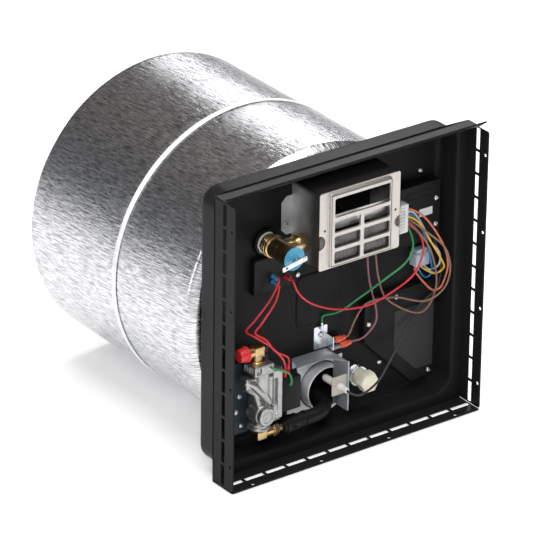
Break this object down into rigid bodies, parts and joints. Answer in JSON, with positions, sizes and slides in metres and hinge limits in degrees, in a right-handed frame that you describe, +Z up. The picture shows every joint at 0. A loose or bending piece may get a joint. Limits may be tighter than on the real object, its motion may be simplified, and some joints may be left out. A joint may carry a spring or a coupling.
{
  "type": "gas water heater",
  "caption": "Gas water heater for a camper wall: foil-wrapped round tank behind a square black front pan with burner, gas valve, relief valve, exhaust grille and wiring",
  "frame": {"origin": "middle of the front edge of the bottom flange, at floor level", "axes": "+X right as seen from the front, +Y to the back along the tank, +Z up"},
  "size_m": [0.4224, 0.474, 0.4245],
  "materials": {
    "black_paint": "semi-gloss black paint over drawn sheet steel",
    "foil": "crinkled foil facing, wrinkles along the tank",
    "blanket_fibre": "glass fibre blanket",
    "white_strap": "smooth white banding",
    "tank_steel": "grey primer over welded steel",
    "galvanised": "galvanised sheet with soft spangle",
    "cream_enamel": "warm grey-cream heat paint",
    "grey_mesh": "woven wire screen",
    "white_plastic": "moulded white nylon",
    "brass": "machined brass, lightly tarnished",
    "blue_plastic": "moulded blue plastic",
    "bright_steel": "plain bright steel",
    "zinc": "bright zinc plate",
    "sensor_metal": "dull metal can",
    "black_plastic": "moulded black plastic, fine grain",
    "red_plastic": "soft red vinyl",
    "orange_plastic": "red-orange insulated terminals",
    "cast_aluminium": "sand-grained die casting",
    "slate_paint": "slate grey paint",
    "burner_steel": "dark heat-resistant coat",
    "beige_metal": "beige plate",
    "white_ceramic": "white glazed ceramic",
    "cream_nylon": "moulded cream nylon",
    "green_board": "green circuit board",
    "blue_grey_plastic": "pale blue-grey nylon",
    "wire_green": "green insulation",
    "wire_red": "red insulation",
    "wire_brown": "brown insulation",
    "wire_blue": "blue insulation",
    "wire_yellow": "yellow insulation",
    "wire_pale": "salmon insulation",
    "black_rubber": "black silicone ignition cable"
  },
  "bodies": {
    "heater": {"pan": "black_paint", "foil_jacket": "foil", "blanket_wrap": "blanket_fibre", "strap_band": "white_strap", "tank_shell": "tank_steel", "flue_tube": "tank_steel", "cold_port": "tank_steel", "hot_port": "tank_steel", "dip_tube": "white_plastic", "exhaust_box": "galvanised", "exhaust_grille": "cream_enamel", "exhaust_baffle": "galvanised", "exhaust_screen": "grey_mesh", "relief_bushing": "white_plastic", "relief_body": "brass", "relief_disc": "blue_plastic", "relief_spring": "bright_steel", "thermostat_disc": "sensor_metal", "limit_disc": "sensor_metal", "thermostat_cover": "black_plastic", "blue_terminals": "blue_plastic", "red_terminal": "red_plastic", "valve_body": "cast_aluminium", "regulator_cap": "cast_aluminium", "inlet_elbow": "brass", "orifice_fitting": "brass", "valve_coil": "black_plastic", "plunger_spring": "bright_steel", "valve_bracket": "slate_paint", "burner_tube": "burner_steel", "flue_collar": "galvanised", "burner_bracket": "galvanised", "electrode_clamp": "beige_metal", "electrode_ceramic": "white_ceramic", "electrode_rods": "bright_steel", "ground_tab": "zinc", "thermal_cutoff": "sensor_metal", "orange_terminals": "orange_plastic", "drain_neck": "bright_steel", "control_board": "green_board", "board_case": "black_plastic", "board_connector": "white_plastic", "inline_connector": "blue_grey_plastic", "wiring_cover": "black_paint", "label_plate": "slate_paint", "screws": "zinc", "wire_green": "wire_green", "wire_red": "wire_red", "wire_brown": "wire_brown", "wire_blue": "wire_blue", "wire_yellow": "wire_yellow", "wire_pale": "wire_pale", "ignition_lead": "black_rubber"},
    "relief_stem": {"relief_stem": "brass"},
    "relief_lever": {"relief_lever": "bright_steel", "relief_pin": "bright_steel"},
    "drain_plug": {"drain_plug": "cream_nylon"},
    "inlet_cap": {"inlet_cap": "red_plastic"},
    "air_shutter": {"air_shutter": "galvanised"},
    "valve_plunger": {"valve_plunger": "bright_steel"}
  },
  "joints": [
    {"name": "relief_lift", "type": "slide", "parent": "heater", "child": "relief_stem", "axis": [0, -1, 0], "range_m": [0, 0.0042], "deforming": ["relief_spring"]},
    {"name": "relief_lever_tip", "type": "hinge", "parent": "relief_stem", "child": "relief_lever", "pos_m": [-0.0995, 0.01, 0.304], "axis": [-0.1822, 0, 0.9833], "range_deg": [0, 50], "stiffness_Nm_per_rad": 0.05},
    {"name": "drain_plug_out", "type": "slide", "parent": "heater", "child": "drain_plug", "axis": [0, -1, 0], "range_m": [0, 0.04], "deforming": ["ignition_lead"]},
    {"name": "inlet_cap_off", "type": "slide", "parent": "heater", "child": "inlet_cap", "axis": [-1, 0, 0], "range_m": [0, 0.022]},
    {"name": "air_shutter_turn", "type": "hinge", "parent": "heater", "child": "air_shutter", "pos_m": [-0.082, 0.042, 0.049], "axis": [1, 0, 0], "range_deg": [-30, 30]},
    {"name": "valve_plunger_lift", "type": "slide", "parent": "heater", "child": "valve_plunger", "axis": [1, 0, 0], "range_m": [0, 0.003], "stiffness_N_per_m": 200, "springref_m": -0.002, "deforming": ["plunger_spring"]}
  ],
  "couplings": [
    {"joint": "relief_lift", "follows": "relief_lever_tip", "m_per_rad": 0.00458}
  ]
}
